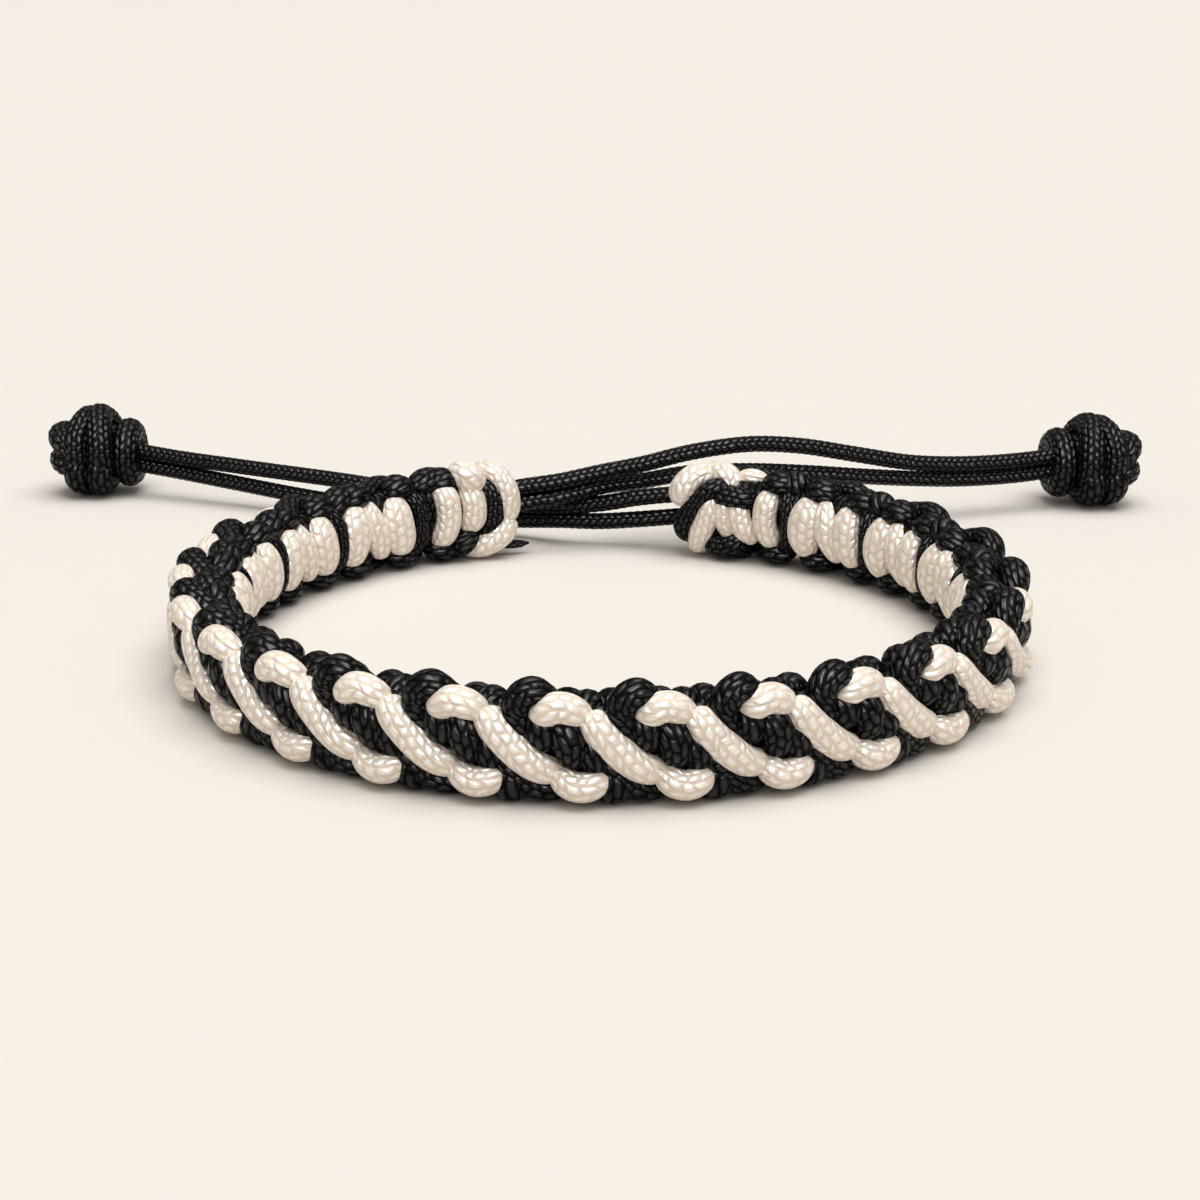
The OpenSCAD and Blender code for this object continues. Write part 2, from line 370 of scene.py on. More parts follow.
def cord_finish(name, pad_colour, painted_crease_shade, *, rough, shine, lift, spread, columns, pad):
    """A satin braided cord.

    rough is the roughness of the pads, shine how strongly they reflect, lift the height of a
    pad in mm, spread how much pads differ in tone, columns the pads round the cord, and pad
    the length of one in mm.
    """
    material = bpy.data.materials.new(name)
    material.use_nodes = True
    tree = material.node_tree
    shader = tree.nodes["Principled BSDF"]
    braid = node(tree, "ShaderNodeGroup", node_tree=cover)
    braid.inputs["Columns"].default_value = columns
    braid.inputs["Pad length"].default_value = pad
    face = braid.outputs["Face"]
    # Painted shade: the pad mask mixes the darker crease colour into the creases of the braid
    colour = node(tree, "ShaderNodeMix", data_type="RGBA")
    colour.inputs["A"].default_value = (*painted_crease_shade, 1.0)
    colour.inputs["B"].default_value = (*pad_colour, 1.0)
    tree.links.new(face, colour.inputs["Factor"])
    tone = maths(tree, "MULTIPLY_ADD", braid.outputs["Tone"], spread, 1.0 - spread / 2)
    shade = node(tree, "ShaderNodeHueSaturation")
    tree.links.new(colour.outputs["Result"], shade.inputs["Color"])
    tree.links.new(tone, shade.inputs["Value"])
    tree.links.new(shade.outputs[0], shader.inputs["Base Color"])
    gloss = maths(tree, "MULTIPLY_ADD", face, -CREASE_ROUGHER, rough + CREASE_ROUGHER)
    tree.links.new(gloss, shader.inputs["Roughness"])
    pads_more = (1.0 - CREASE_SHARE) * shine
    glint = maths(tree, "MULTIPLY_ADD", face, pads_more, CREASE_SHARE * shine)
    tree.links.new(glint, shader.inputs["Specular IOR Level"])
    bump = node(tree, "ShaderNodeBump")
    bump.inputs["Distance"].default_value = lift * MM
    bump.inputs["Strength"].default_value = 1.0
    tree.links.new(braid.outputs["Height"], bump.inputs["Height"])
    tree.links.new(bump.outputs[0], shader.inputs["Normal"])
    return material


# %% The three finishes
TIE_PADS_ROUND, TIE_PAD = 8, 0.75
# The crease colour is painted shade, darker than the pad colour, for the creases of the braid
BLACK, BLACK_PAINTED_CREASE_SHADE = (0.0023, 0.0023, 0.0028), (0.0009, 0.0009, 0.001)
black_cord = cord_finish(
    "black satin cord", BLACK, BLACK_PAINTED_CREASE_SHADE,
    rough=0.2, shine=0.36, lift=0.1, spread=0.3, columns=PADS_ROUND, pad=PAD_LENGTH,
)
# The crease colour is painted shade, darker than the pad colour, for the creases of the braid
IVORY, IVORY_PAINTED_CREASE_SHADE = (0.99, 0.92, 0.835), (0.8, 0.69, 0.57)
IVORY_IOR = 1.9
ivory_cord = cord_finish(
    "ivory satin cord", IVORY, IVORY_PAINTED_CREASE_SHADE,
    rough=0.27, shine=1.0, lift=0.1, spread=0.05, columns=10, pad=0.85,
)
ivory_cord.node_tree.nodes["Principled BSDF"].inputs["IOR"].default_value = IVORY_IOR
tie_cord = cord_finish(
    "black tie cord", BLACK, BLACK_PAINTED_CREASE_SHADE,
    rough=0.2, shine=0.36, lift=0.08, spread=0.2, columns=TIE_PADS_ROUND, pad=TIE_PAD,
)
print("finishes:", black_cord.name, "/", ivory_cord.name, "/", tie_cord.name)

# %% [markdown]
# The four tie cords come first, because they reach furthest. Each is a thin limp cord that
# comes out of one end of the band, passes behind the other end and runs to a knot. The routes
# follow those of the CAD solids. They begin 3 mm inside the band, so no cut end shows, and
# the left pair crosses the gap a little lower than its solids, as the photograph shows it.

# %% Routes of the tie cords, in mm
TIE_RADIUS = 0.8
ROUTES = {
    "right_upper": [
        (-10.8, 30.0, 5.9), (-9.5, 30.7, 6.15), (-7.75, 31.2, 6.4), (-4, 31.9, 6.8), (0, 32.7, 7.5),
        (4, 34.0, 8.0), (9, 35.9, 8.8), (15, 37.8, 9.2), (20, 39.3, 8.7), (26, 41.1, 7.4),
        (32, 43.0, 6.1), (38, 45.0, 5.5), (44, 47.1, 5.4), (48.1, 48.5, 5.6),
    ],
    "right_lower": [
        (-10.8, 30.1, 4.2), (-9.5, 30.8, 4.45), (-7.75, 31.3, 4.75), (-4, 32.1, 5.2),
        (0, 33.4, 5.9), (4, 34.9, 6.1), (9, 36.7, 6.5), (15, 38.4, 6.3), (21, 40.1, 5.7),
        (27, 41.9, 4.9), (33, 43.8, 4.2), (38, 45.4, 3.8), (44, 47.5, 3.7), (47.9, 48.8, 3.9),
    ],
    "left_upper": [
        (10.8, 30.0, 5.9), (9.5, 30.7, 5.85), (7.75, 31.2, 5.7), (4, 31.9, 5.2), (0, 33.0, 4.3),
        (-4, 34.3, 3.7), (-9, 36.4, 3.3), (-15, 38.9, 3.4), (-21, 41.5, 3.7), (-27, 44.0, 4.0),
        (-33, 46.5, 4.2), (-39, 49.0, 4.4), (-45, 51.6, 4.6), (-50.5, 53.9, 5.0),
    ],
    "left_lower": [
        (10.8, 30.2, 3.9), (9.5, 30.9, 3.7), (7.75, 31.5, 3.4), (4, 32.3, 2.9), (0, 33.4, 2.4),
        (-4, 34.6, 2.2), (-9, 36.6, 1.7), (-15, 39.1, 1.3), (-21, 41.6, 1.3), (-27, 44.1, 1.6),
        (-33, 46.6, 2.0), (-39, 49.2, 2.5), (-45, 51.8, 3.0), (-50.3, 54.0, 3.4),
    ],
}

# %% Make the tie cords
# Each pad takes five rings of the mesh
TIE_STEP, TIE_SIDES, TIE_RISE = TIE_PAD / 5, 32, 0.06
TOWARDS_EYE = (0.0, -0.35, 1.0)
for side, route in ROUTES.items():
    line = smooth_line(route, TIE_STEP)
    strand = sweep(
        line, np.tile(TOWARDS_EYE, (len(line), 1)), TIE_RADIUS, TIE_RADIUS,
        sides=TIE_SIDES, rise=TIE_RISE, columns=TIE_PADS_ROUND, pad=TIE_PAD,
    )
    piece = make_piece("tie_cord_" + side + "_braid", [strand], tie_cord)
    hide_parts("tie_cord_" + side)
    length = float(np.linalg.norm(np.diff(line, axis=0), axis=1).sum())
    print("  ", side, "is", round(length, 1), "mm long")

# %% [markdown]
# The band is worked in equal groups of knots, but the photograph shows the groups closer
# together at the front and wider at the back. A place on the band is therefore counted in
# groups, and one function turns it into an angle round the ring.

# %% Places on the band
GROUPS = 22
END = GROUPS / 2
GROUP_ANGLE = 15.3
FRONT_SQUEEZE = 12.4
OUTER_R = 34.0
SECTION_R, SECTION_Z = 31.9, 4.6
SHIFT_MIDDLE, SHIFT_MORE, SHIFT_OVER = 0.05, 0.15, 4.0


def angle_at(u):
    return np.radians(GROUP_ANGLE * u - FRONT_SQUEEZE * np.sin(np.radians(GROUP_ANGLE * u)))


def pitch_at(u):
    """How long one group is at this place, in mm along the outer side of the band."""
    squeeze = np.radians(FRONT_SQUEEZE) * np.cos(np.radians(GROUP_ANGLE * u))
    return np.radians(GROUP_ANGLE) * (1 - squeeze) * OUTER_R


def on_band(u, r, z):
    a = angle_at(u)
    return np.stack([r * np.sin(a), -r * np.cos(a), z], axis=-1)


def inner_shift(u):
    """How many groups the inner side of the weave lies off the outer side, more at the ends."""
    return -SHIFT_MIDDLE - SHIFT_MORE * np.tanh(u / SHIFT_OVER)


front_pitch, back_pitch = (round(float(pitch_at(u)), 2) for u in (0.0, 10.0))
print("a group is", front_pitch, "mm at the front and", back_pitch, "mm behind")

# %% [markdown]
# One strand of the weave is a short list of points: place in groups, radius, height, how far
# it belongs to the inner side, half width and half thickness. The helper below bends such a
# list round the ring. It also widens the strands where the groups are longer, lowers the edge
# where the photograph shows it lower, and cuts a strand where the band ends.

# %% A strand on the band
chance = random.Random(7)
# Places in groups: where strands that repeat are cut, and where those of the inner side end
CUT_AT = 10.6
INNER_FROM, INNER_TO = -10.3, 10.12
# The upper edge of the inner side is lower at the front, that of the outer side at the back
FRONT_DROP, BACK_DROP = 1.7, 0.5
DROP_FROM_R, DROP_OVER_R, DROP_OVER_Z = 33.7, 1.3, 3.0
# A strand's braid starts anywhere in this many mm, so no two strands are alike
RUN_START = 9
# Over this many mm round the middle of the section, the side that is seen turns over softly
SOFT_TURN = 0.4


def lower_edge(a, r, z):
    """The height z of a point at the angle a and the radius r, after the drop of the edge."""
    front = (1 + np.cos(a)) / 2
    inward = np.clip((DROP_FROM_R - r) / DROP_OVER_R, 0.0, 1.0)
    upper = np.clip((z - SECTION_Z) / DROP_OVER_Z, 0.0, 1.0)
    drop = FRONT_DROP * front * inward + BACK_DROP * (1 - front) * (1 - inward)
    return z - upper * drop


def band_strand(points, j=0, grow=0.5, jitter=0.03, free=False, sides=24, step=0.8):
    """A strand from rows of (u, r, z, inner, wide, high), for the group j.

    A free strand isn't cut at the ends of the band. None is left of one that lies beyond it.
    """
    rows = np.array(points, float)
    u = rows[:, 0] + j
    u = u + rows[:, 3] * inner_shift(u)
    if not free:
        inside = (rows[:, 3] < 0.5) | ((u > INNER_FROM) & (u < INNER_TO))
        rows, u = rows[inside], u[inside]
        if len(u) < 3:
            return None
    r = rows[:, 1] + chance.uniform(-jitter, jitter)
    z = lower_edge(angle_at(u), rows[:, 1], rows[:, 2]) + chance.uniform(-jitter, jitter)
    wide = rows[:, 4] * (pitch_at(u) / pitch_at(0.0)) ** grow
    knots = np.column_stack([on_band(u, r, z), u, r, z, wide, rows[:, 5]])
    line = smooth_line(knots, step, bend=step / 3)
    if not free:
        line = line[np.abs(line[:, 3]) < CUT_AT]
        if len(line) < 6:
            return None
    a = angle_at(line[:, 3])
    outward = np.stack([np.sin(a), -np.cos(a), np.zeros(len(a))], axis=1)
    out = (line[:, 4] - SECTION_R)[:, None] * outward
    out[:, 2] += line[:, 5] - SECTION_Z
    out /= np.linalg.norm(out, axis=1)[:, None] + SOFT_TURN
    first = chance.uniform(0, RUN_START)
    return sweep(line[:, :3], out, line[:, 6], line[:, 7], sides, first)


def full(points, wide, high, ends=0.85):
    """Rows of (u, r, z) with the same sizes, thinner by a share at the two hidden ends."""
    share = [ends] + [1.0] * (len(points) - 2) + [ends]
    return [(*p, 0.0, wide * k, high * k) for p, k in zip(points, share)]


# %% [markdown]
# The ivory cord makes the slanting bars outside. Each group has a short bead at the top, a
# long bar that runs down to the right, and a short bead at the bottom. Inside the ring the
# same cord stands up in three ribs, side by side, between two thin black wraps.

# %% Ivory strands of one group
TOP_BEAD = [
    (0.43, 33.2, 6.5, 0.0, 0.90, 0.88), (0.45, 33.85, 6.65, 0.0, 1.00, 0.96),
    (0.49, 34.2, 6.9, 0.0, 1.08, 1.00), (0.55, 34.3, 7.2, 0.0, 1.12, 1.02),
    (0.65, 34.2, 7.25, 0.0, 1.12, 1.00), (0.73, 34.1, 7.05, 0.0, 1.10, 1.00),
    (0.79, 33.85, 6.75, 0.0, 1.00, 0.96), (0.835, 33.5, 6.45, 0.0, 0.82, 0.84),
]
LONG_BAR = [
    (0.94, 34.05, 6.12, 0.0, 1.10, 1.00), (0.99, 34.2, 5.65, 0.0, 1.16, 1.02),
    (1.08, 34.25, 4.9, 0.0, 1.18, 1.02), (1.18, 34.25, 4.15, 0.0, 1.18, 1.02),
    (1.29, 34.25, 3.45, 0.0, 1.18, 1.02), (1.40, 34.15, 2.9, 0.0, 1.16, 1.02),
    (1.48, 33.9, 2.62, 0.0, 1.12, 1.00), (1.545, 33.4, 2.45, 0.0, 1.00, 0.95),
    (1.60, 32.8, 2.3, 0.0, 0.85, 0.85),
]
LOW_BEAD = [
    (1.655, 34.1, 2.02, 0.0, 1.08, 1.00), (1.71, 34.25, 1.74, 0.0, 1.14, 1.02),
    (1.80, 34.3, 1.55, 0.0, 1.18, 1.04), (1.88, 34.3, 1.60, 0.0, 1.18, 1.04),
    (1.94, 34.2, 1.72, 0.0, 1.12, 1.00), (1.98, 34.0, 1.86, 0.0, 1.02, 0.96),
    (2.00, 33.7, 1.98, 0.0, 0.90, 0.88),
]
# A rib from top to bottom: share of its length, radius, height, and share of its width
RIB_ROWS = [
    (0.0, 30.4, 6.55, 0.90), (0.12, 30.12, 6.1, 1.02), (0.28, 29.88, 5.45, 1.08),
    (0.5, 29.8, 4.55, 1.1), (0.72, 29.88, 3.65, 1.08), (0.88, 30.12, 3.0, 1.02),
    (1.0, 30.4, 2.55, 0.90),
]
RIB_BOW, RIB_HIGH = 0.02, 1.08
# The three ribs of a group: place in groups, lean, half width, and how much deeper it lies
RIBS = [(0.24, -0.07, 1.24, 0.0), (0.515, -0.15, 1.02, 0.3), (0.79, 0.03, 1.28, 0.0)]


def inner_rib(u, lean, wide, deeper):
    """An upright rib on the inner side, bowed a little along the band."""
    rows = []
    for s, r, z, k in RIB_ROWS:
        place = u + lean * (s - 0.5) + RIB_BOW * math.sin(math.pi * s)
        rows.append((place, r + deeper, z, 1.0, wide * k, RIB_HIGH))
    return rows


print("an ivory group has 3 runs outside and", len(RIBS), "ribs inside")

# %% Work the ivory cord round the band
# The first group lies before the band, because its strands reach into the next one
BAND_GROUPS = range(-GROUPS // 2 - 1, GROUPS // 2)
INNER_GROUPS = range(1 - GROUPS // 2, GROUPS // 2 - 1)
ivory_strands = []
for j in BAND_GROUPS:
    for part in (TOP_BEAD, LONG_BAR, LOW_BEAD):
        ivory_strands.append(band_strand(part, j, grow=0.3))
for j in INNER_GROUPS:
    for rib in RIBS:
        ivory_strands.append(band_strand(inner_rib(*rib), j, grow=0.35))
print("ivory strands on the band:", sum(s is not None for s in ivory_strands))

# %% [markdown]
# The ends differ. At the left end the ivory cord makes a last turn round the band, with a
# bead in front of it at the top. At the right end it goes over the top edge in three short
# pieces, and its first rib leans.

# %% Ivory at the two ends
LEFT_IVORY = [
    # The last turn, from the outer side over the top and down the inner side
    full([(-10.70, 33.6, 1.6), (-10.79, 34.0, 3.2), (-10.83, 34.0, 5.2), (-10.78, 33.7, 7.2),
          (-10.66, 32.7, 8.2), (-10.69, 31.6, 8.4), (-10.77, 30.6, 7.95), (-10.83, 30.0, 6.8),
          (-10.85, 29.9, 5.6), (-10.84, 30.1, 4.7), (-10.81, 30.8, 4.0)], 1.12, 1.04),
    full([(-10.835, 30.0, 3.35), (-10.79, 29.85, 2.75), (-10.70, 29.95, 1.98), (-10.59, 30.3, 1.42),
          (-10.50, 31.2, 1.26), (-10.52, 32.6, 1.26), (-10.62, 33.5, 1.6)], 1.26, 1.18),
    full([(-10.38, 31.7, 8.2), (-10.40, 31.1, 8.5), (-10.44, 30.6, 8.5), (-10.48, 30.35, 8.2),
          (-10.51, 30.35, 7.85)], 1.45, 1.38),
]
RIGHT_IVORY = [
    full([(10.72, 32.3, 7.2), (10.77, 31.7, 7.9), (10.85, 31.0, 7.8), (10.92, 30.5, 7.1),
          (10.95, 30.4, 6.4), (10.90, 30.9, 5.8)], 1.36, 1.25),
    full([(10.78, 33.0, 6.8), (10.71, 32.5, 7.8), (10.61, 32.0, 8.2), (10.52, 31.5, 7.9),
          (10.47, 31.2, 7.3)],
         1.3, 1.2),
    full([(10.42, 32.4, 7.4), (10.36, 32.2, 7.85), (10.27, 32.3, 7.9),
          (10.20, 32.7, 7.5)], 1.0, 0.95),
    # The last turn round the outer side and under the bottom
    full([(10.84, 33.0, 7.4), (10.88, 33.9, 6.4), (10.90, 34.1, 4.6), (10.88, 33.9, 2.8),
          (10.80, 33.2, 1.5), (10.78, 32.0, 1.05), (10.79, 30.7, 1.3)], 1.08, 1.02),
    # Ribs
    full([(10.60, 30.6, 6.2), (10.64, 29.95, 5.3), (10.69, 29.85, 3.9), (10.75, 29.95, 2.4),
          (10.79, 30.4, 1.3)],
         1.12, 1.05),
    full([(10.50, 30.6, 6.3), (10.51, 30.0, 5.3), (10.50, 29.95, 4.2),
          (10.47, 30.3, 3.0)], 1.05, 1.0),
    full([(10.38, 30.6, 6.2), (10.36, 30.0, 5.2), (10.33, 29.9, 4.2), (10.28, 30.1, 3.2),
          (10.24, 30.6, 2.6)],
         1.16, 1.05),
    full([(10.04, 30.8, 6.9), (10.05, 30.05, 6.2), (10.06, 29.85, 5.0), (10.05, 29.95, 3.8),
          (10.02, 30.3, 2.9), (10.00, 30.8, 2.4)], 1.18, 1.06),
]
LEFT_RIBS = [
    full([(-10.17, 30.9, 7.3), (-10.19, 30.1, 6.7), (-10.21, 29.85, 5.3), (-10.20, 29.9, 3.9),
          (-10.17, 30.2, 2.9), (-10.15, 30.8, 2.3)], 1.24, 1.07),
    full([(-10.44, 30.8, 7.2), (-10.47, 30.0, 6.4), (-10.49, 29.85, 5.2), (-10.48, 29.95, 4.2),
          (-10.45, 30.3, 3.5)], 1.2, 1.05),
]
for part in LEFT_IVORY + RIGHT_IVORY + LEFT_RIBS:
    ivory_strands.append(band_strand(part, grow=0.0, jitter=0.0, free=True))

ivory_strands = [s for s in ivory_strands if s is not None]
ivory_piece = make_piece("ivory_weave", ivory_strands, ivory_cord)
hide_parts("cream_weave")

# %% [markdown]
# The black cord does the knotting. In each group it makes three loops. The first comes from
# the inner side over the top edge and arches round the ivory bead. The second goes right
# round: over the top, down the inner side as the thin wrap, and under the bottom edge. The
# third comes out under the long bar and turns up inside. Three short ribs fill the field
# between two bars.

# %% Black strands of one group
ARCH = [
    (1.60, 32.1, 7.2, 0.6, 0.95, 0.92), (1.57, 32.3, 7.75, 0.4, 1.08, 1.00),
    (1.52, 32.8, 7.95, 0.1, 1.10, 1.05), (1.45, 33.4, 8.0, 0.0, 1.10, 1.05),
    (1.36, 33.75, 8.12, 0.0, 1.12, 1.05), (1.275, 33.85, 7.92, 0.0, 1.12, 1.05),
    (1.22, 33.85, 7.40, 0.0, 1.12, 1.05), (1.20, 33.8, 6.80, 0.0, 1.12, 1.05),
    (1.23, 33.7, 6.15, 0.0, 1.12, 1.00), (1.29, 33.5, 5.5, 0.0, 1.10, 1.00),
    (1.36, 33.1, 4.9, 0.0, 1.05, 0.95), (1.43, 32.6, 4.40, 0.0, 0.90, 0.90),
]
ROUND = [
    (0.75, 32.7, 6.9, 0.0, 0.90, 0.92), (0.79, 32.5, 7.6, 0.0, 1.10, 1.05),
    (0.84, 32.1, 8.1, 0.1, 1.24, 1.15), (0.89, 31.7, 8.2, 0.4, 1.28, 1.20),
    (0.95, 31.5, 7.9, 0.8, 1.16, 1.08), (0.99, 31.7, 7.3, 1.0, 0.92, 0.90),
]
# Beads on the inner side, above and below: offset in groups, radius, height, wide and high
HIGH_BEAD = [
    (-0.10, 31.8, 7.5, 0.95, 0.95), (-0.055, 31.4, 8.0, 1.2, 1.15), (0.0, 31.3, 8.15, 1.3, 1.22),
    (0.055, 31.4, 7.95, 1.2, 1.15), (0.10, 31.7, 7.4, 0.95, 0.95),
]
DEEP_BEAD = [
    (-0.10, 31.7, 1.74, 0.95, 0.95), (-0.06, 31.25, 1.4, 1.15, 1.1), (0.0, 31.1, 1.3, 1.28, 1.18),
    (0.06, 31.25, 1.36, 1.15, 1.1), (0.10, 31.7, 1.74, 0.95, 0.95),
]
INNER_BEADS = [
    [(u + offset, r, z, 1.0, wide, high) for offset, r, z, wide, high in bead]
    for u, bead in ((1.18, HIGH_BEAD), (1.70, HIGH_BEAD), (1.17, DEEP_BEAD), (1.72, DEEP_BEAD))
]
WRAP = [
    (1.08, 31.5, 7.3, 1.0, 0.70, 0.75), (1.04, 30.6, 6.9, 1.0, 0.62, 0.80),
    (1.01, 30.1, 6.0, 1.0, 0.50, 0.80), (1.00, 29.95, 4.9, 1.0, 0.46, 0.80),
    (1.00, 29.95, 3.8, 1.0, 0.46, 0.80), (1.01, 30.1, 2.9, 1.0, 0.55, 0.80),
    (1.04, 30.7, 2.1, 1.0, 0.70, 0.80), (1.07, 31.6, 1.8, 1.0, 0.70, 0.80),
]
LOW_ROUND = [
    (1.16, 31.3, 1.25, 0.7, 1.15, 1.00), (1.14, 31.9, 1.11, 0.4, 1.35, 1.05),
    (1.125, 32.8, 1.11, 0.0, 1.42, 1.06), (1.12, 33.4, 1.20, 0.0, 1.46, 1.12),
    (1.12, 33.65, 1.6, 0.0, 1.42, 1.10), (1.12, 33.5, 2.2, 0.0, 1.20, 1.00),
    (1.10, 33.0, 2.8, 0.0, 0.95, 0.90),
]
UNDER = [
    (1.00, 32.9, 3.9, 0.0, 0.90, 0.90), (1.04, 33.4, 3.35, 0.0, 1.00, 0.95),
    (1.10, 33.6, 2.75, 0.0, 1.05, 1.00), (1.18, 33.55, 2.15, 0.0, 1.08, 1.00),
    (1.29, 33.4, 1.5, 0.0, 1.10, 1.00), (1.42, 33.3, 1.18, 0.0, 1.12, 1.05),
    (1.53, 32.9, 1.12, 0.0, 1.12, 1.05), (1.65, 32.0, 1.11, 0.3, 1.15, 1.03),
    (1.70, 31.4, 1.2, 0.7, 1.05, 0.98),
]
FIELD_RIBS = [
    [(1.36, 32.4, 6.9, 0, 1.0, 0.95), (1.40, 33.3, 6.4, 0, 1.14, 1.02),
     (1.45, 33.95, 5.85, 0, 1.2, 1.06), (1.47, 34.0, 5.25, 0, 1.18, 1.06),
     (1.46, 33.5, 4.75, 0, 1.05, 1.0), (1.42, 32.7, 4.45, 0, 0.9, 0.9)],
    [(1.55, 32.3, 6.5, 0, 1.0, 0.95), (1.61, 33.4, 6.0, 0, 1.16, 1.02),
     (1.68, 34.1, 5.35, 0, 1.24, 1.06), (1.73, 34.2, 4.5, 0, 1.22, 1.06),
     (1.74, 33.9, 3.75, 0, 1.12, 1.0), (1.72, 33.1, 3.2, 0, 0.95, 0.9)],
    [(1.81, 32.4, 5.2, 0, 1.0, 0.95), (1.86, 33.3, 4.8, 0, 1.12, 1.0),
     (1.92, 33.9, 4.25, 0, 1.14, 1.02), (1.955, 33.9, 3.45, 0, 1.12, 1.0),
     (1.95, 33.3, 2.8, 0, 1.0, 0.95)],
]

# %% Work the black cord round the band
# Fewer sides and longer steps than the ivory cord, since there is more of the black
BLACK_SIDES, BLACK_STEP = 17, 0.9
BLACK_GROUP = (ARCH, ROUND, *INNER_BEADS, WRAP, LOW_ROUND, UNDER, *FIELD_RIBS)
black_strands = []
for j in BAND_GROUPS:
    for part in BLACK_GROUP:
        grow = 0.9 if part is WRAP else 0.5
        black_strands.append(band_strand(part, j, grow, sides=BLACK_SIDES, step=BLACK_STEP))
print("black strands on the band:", sum(s is not None for s in black_strands))

# %% Black at the two ends
LEFT_BLACK = [
    full([(-10.60, 30.9, 7.3), (-10.67, 30.2, 6.7), (-10.70, 29.95, 5.9), (-10.70, 29.85, 5.0),
          (-10.69, 29.9, 4.1), (-10.65, 30.1, 3.3), (-10.58, 30.8, 2.7)], 0.98, 0.95),
    full([(-10.46, 30.9, 2.5), (-10.43, 30.3, 2.35), (-10.39, 30.05, 2.0), (-10.36, 30.3, 1.65),
          (-10.35, 31.0, 1.4)], 1.15, 1.08),
    # The cut tip of the cord, sealed to a point
    [(-10.70, 31.6, 1.5, 0.0, 0.50, 0.50), (-10.82, 31.2, 1.15, 0.0, 0.55, 0.50),
     (-10.92, 31.0, 1.05, 0.0, 0.52, 0.45), (-11.00, 30.9, 1.05, 0.0, 0.38, 0.34),
     (-11.06, 30.85, 1.1, 0.0, 0.12, 0.12)],
]
RIGHT_BLACK = [
    full([(10.50, 31.5, 7.0), (10.55, 30.7, 7.2), (10.61, 30.15, 7.0), (10.70, 29.9, 6.4),
          (10.79, 29.9, 5.4), (10.88, 29.95, 4.3), (10.93, 30.1, 3.4), (10.92, 30.4, 2.6),
          (10.86, 31.0, 2.0)], 0.98, 0.96),
    full([(10.57, 30.7, 6.35), (10.53, 30.1, 6.5), (10.42, 29.9, 6.5), (10.31, 30.0, 6.4),
          (10.25, 30.6, 6.2)], 1.12, 1.05),
    full([(10.70, 31.6, 1.9), (10.63, 30.6, 1.6), (10.52, 30.1, 1.4), (10.40, 30.1, 1.7),
          (10.32, 30.6, 2.4)],
         1.15, 1.05),
    full([(10.50, 33.4, 1.7), (10.42, 32.8, 1.19), (10.36, 31.6, 1.12),
          (10.38, 30.6, 1.4)], 1.15, 1.05),
]
for part in LEFT_BLACK + RIGHT_BLACK:
    black_strands.append(
        band_strand(part, 0, 0.0, 0.0, free=True, sides=BLACK_SIDES, step=BLACK_STEP)
    )
print("black strands at the ends:", len(LEFT_BLACK) + len(RIGHT_BLACK))

# %% [markdown]
# Behind the strands lies the core. It shows only as darkness between them, but without it
# light would come through. It is a rounded oblong that is spun round the ring, like a rubber
# seal, from one side of the gap to the other. Its upper edge is lowered like the strands'.


# %% Core of the band
CORE_R, CORE_Z = 32.0, 4.75
CORE_WIDE, CORE_HIGH, CORE_ROUNDING = 3.4, 6.5, 1.3
CORE_STEPS = 150
# The core ends this much of a group before the band does
CORE_SHORT = 0.25


def spin_core():
    """The core as an object, spun from one oblong with the spin operator."""
    bpy.ops.object.select_all(action="DESELECT")
    bpy.ops.mesh.primitive_plane_add(size=1.0, location=(0.0, 0.0, 0.0))
    core = bpy.context.object
    core.name = "core"
    for vertex in core.data.vertices:
        x, y = vertex.co.x, vertex.co.y
        vertex.co = (0.0, -(CORE_R + x * CORE_WIDE) * MM, (CORE_Z + y * CORE_HIGH) * MM)
    bpy.ops.object.mode_set(mode="EDIT")
    bpy.ops.mesh.select_all(action="SELECT")
    bpy.ops.mesh.bevel(offset=CORE_ROUNDING * MM, segments=3, affect="VERTICES")
    bpy.ops.mesh.select_all(action="SELECT")
    start = float(angle_at(-END + CORE_SHORT))
    bpy.ops.transform.rotate(value=-start, orient_axis="Z", center_override=(0.0, 0.0, 0.0))
    bpy.ops.mesh.spin(
        steps=CORE_STEPS, angle=2 * start, center=(0.0, 0.0, 0.0), axis=(0.0, 0.0, 1.0)
    )
    bpy.ops.mesh.select_all(action="SELECT")
    bpy.ops.mesh.normals_make_consistent(inside=False)
    bpy.ops.object.mode_set(mode="OBJECT")
    return core


core_points, core_faces, core_uv = as_strand(spin_core(), SECTION_R)
core_x, core_y, core_z = core_points.T
core_angle = np.arctan2(core_x, -core_y)
core_points[:, 2] = lower_edge(core_angle, np.hypot(core_x, core_y), core_z)
print("core:", len(core_points), "points")

# %% Black weave as one piece
black_strands = [s for s in black_strands if s is not None]
black_strands.insert(0, (core_points, core_faces, core_uv))
black_piece = make_piece("black_weave_cord", black_strands, black_cord)
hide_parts("black_weave")

# %% [markdown]
# Each pair of tie cords ends in a round button knot, so it can't slip back through the band.
# The photograph shows a tall collar where the cords come in, two turns side by side over the
# middle, two rounded turns below, and two small turns at the far end. Each turn is a short
# braided strand round a dark ball, made with its own list of points: outward along the knot,
# towards the viewer, and up.

